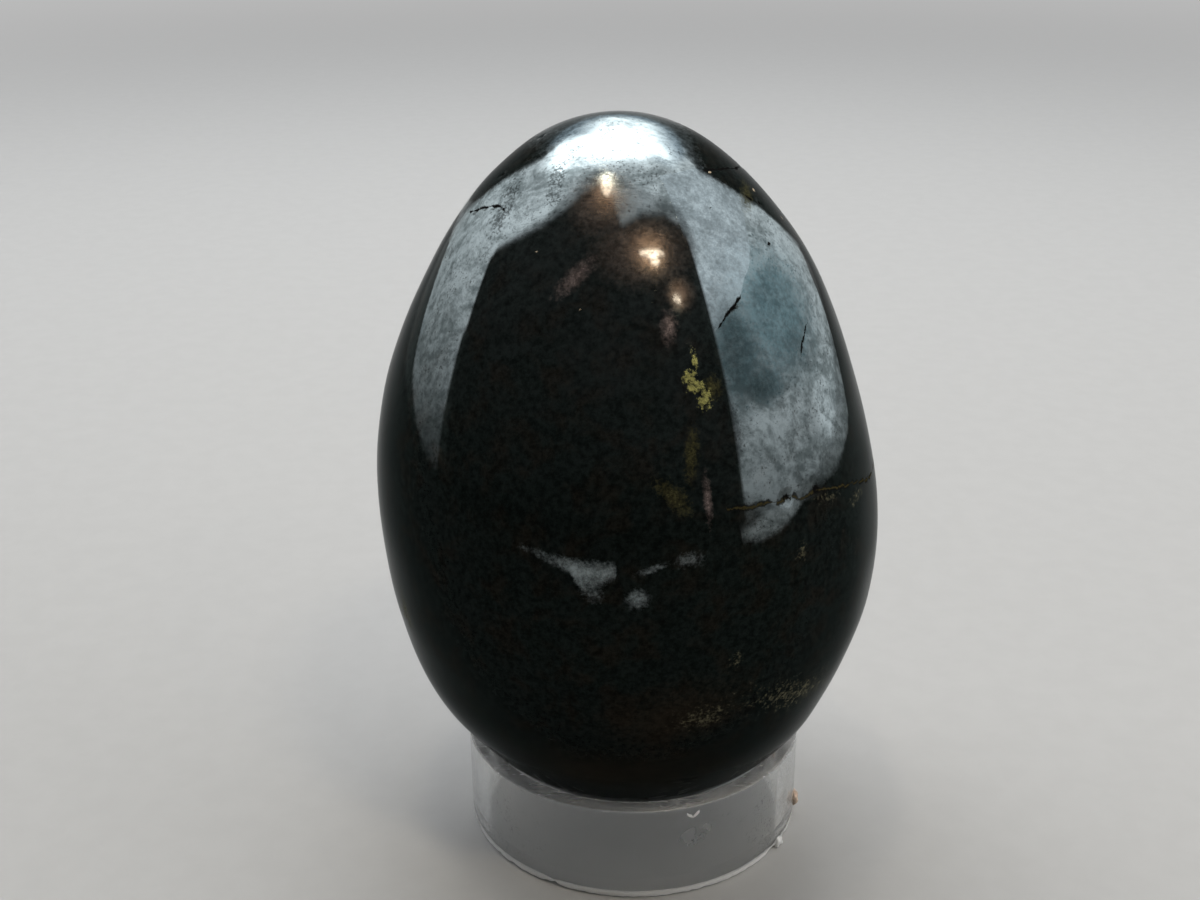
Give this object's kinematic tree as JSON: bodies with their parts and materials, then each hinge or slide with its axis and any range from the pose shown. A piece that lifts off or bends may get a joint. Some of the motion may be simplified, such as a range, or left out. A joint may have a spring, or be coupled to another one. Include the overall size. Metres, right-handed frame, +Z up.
{
  "type": "decorative egg on stand",
  "caption": "Polished dark stone egg standing blunt end down in a clear ring, from which it lifts straight off; a free-standing ornament.",
  "frame": {"origin": "middle of the ring's underside, on the surface that the part stands on", "axes": "+Z up along the ring's axis, -Y towards the picture's camera; the egg's own axis leans 2.6 degrees from +Z towards -X"},
  "size_m": [0.0451, 0.045, 0.068],
  "materials": {
    "polished_stone": "hand polished, mottled blue-black with brassy flecks",
    "clear_ring": "clear drawn tube with sawn ends"
  },
  "bodies": {
    "stand": {"ring_stand": "clear_ring"},
    "egg": {"stone_egg": "polished_stone"}
  },
  "joints": [
    {"name": "egg_lift", "type": "slide", "parent": "stand", "child": "egg", "axis": [0, 0, 1], "range_m": [0, 0.03]}
  ]
}
